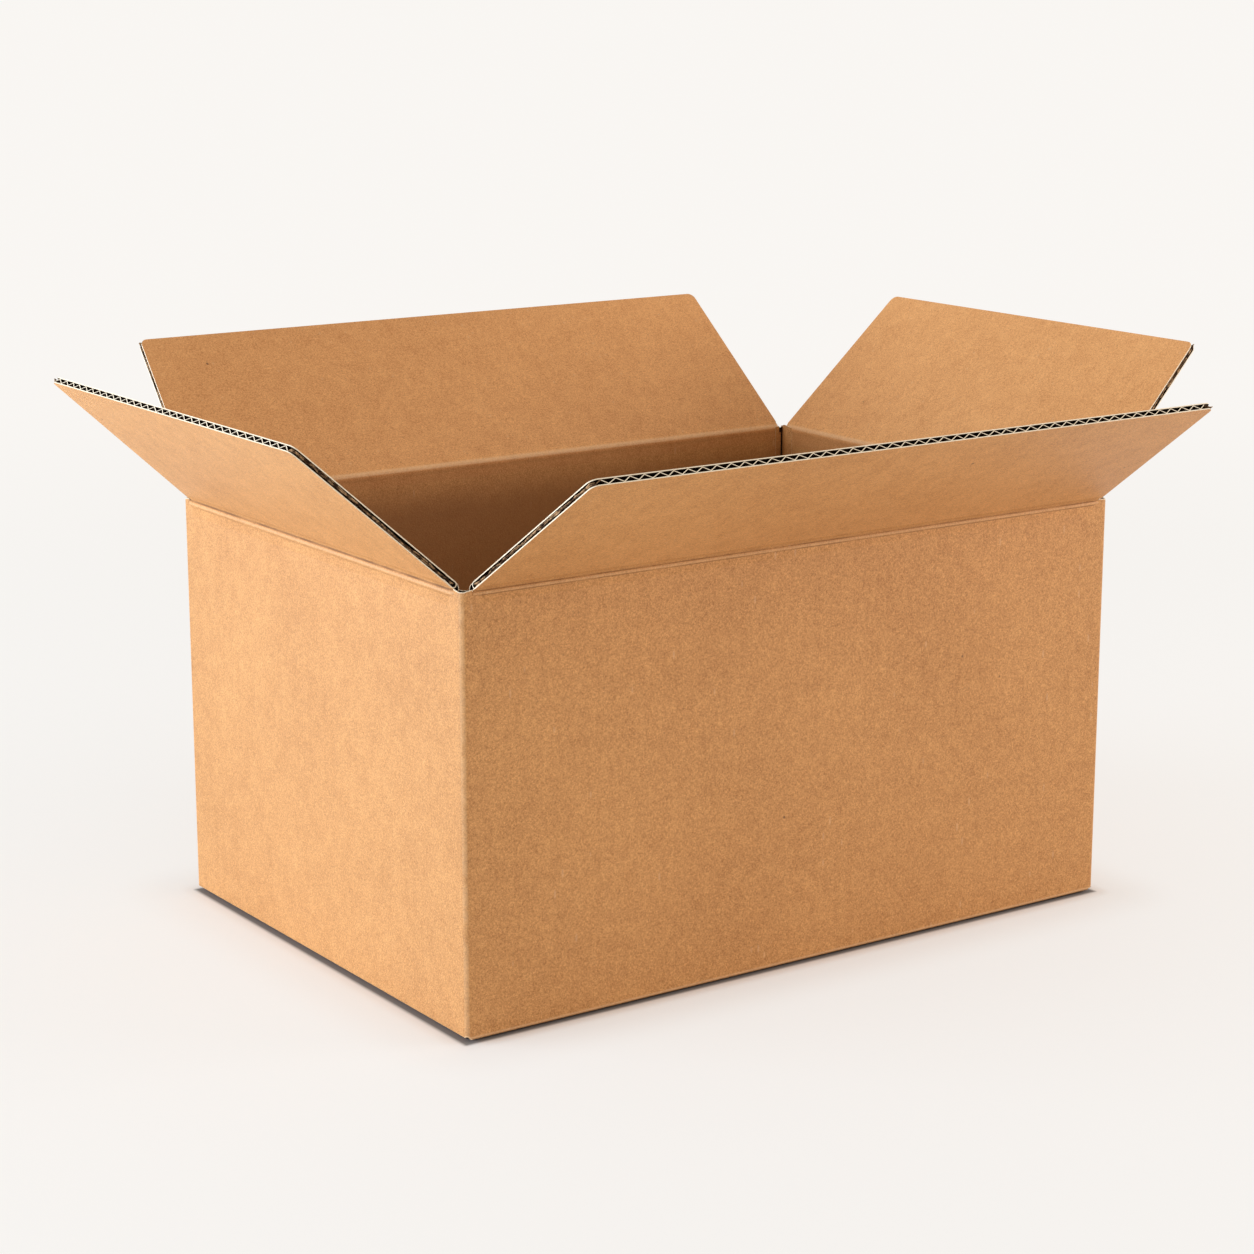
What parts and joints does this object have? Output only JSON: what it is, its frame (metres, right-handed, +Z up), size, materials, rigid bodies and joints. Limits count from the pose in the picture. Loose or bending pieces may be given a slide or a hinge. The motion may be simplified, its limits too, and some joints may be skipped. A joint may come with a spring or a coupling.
{
  "type": "cardboard box",
  "caption": "Open rectangular shipping box folded from single-wall corrugated board, glued bottom, with hinged top flaps standing open.",
  "frame": {"origin": "middle of the base, on the face the box stands on", "axes": "+Z up through the open top, X along the length, the long front wall faces -Y"},
  "size_m": [0.4558, 0.367, 0.241],
  "materials": {
    "kraft_board": "matte"
  },
  "bodies": {
    "body": {"box_body": "kraft_board"},
    "front_flap": {"front_flap": "kraft_board"},
    "back_flap": {"back_flap": "kraft_board"},
    "left_flap": {"left_flap": "kraft_board"},
    "right_flap": {"right_flap": "kraft_board"}
  },
  "joints": [
    {"name": "front_flap_fold", "type": "hinge", "parent": "body", "child": "front_flap", "pos_m": [0, -0.11585, 0.1788], "axis": [1, 0, 0], "range_deg": [-145, 120]},
    {"name": "back_flap_fold", "type": "hinge", "parent": "body", "child": "back_flap", "pos_m": [0, 0.11585, 0.1788], "axis": [-1, 0, 0], "range_deg": [-137.4, 122.6]},
    {"name": "left_flap_fold", "type": "hinge", "parent": "body", "child": "left_flap", "pos_m": [-0.16535, 0, 0.1772], "axis": [0, -1, 0], "range_deg": [-138.2, 126.8]},
    {"name": "right_flap_fold", "type": "hinge", "parent": "body", "child": "right_flap", "pos_m": [0.16535, 0, 0.1772], "axis": [0, 1, 0], "range_deg": [-135.9, 129.1]}
  ]
}
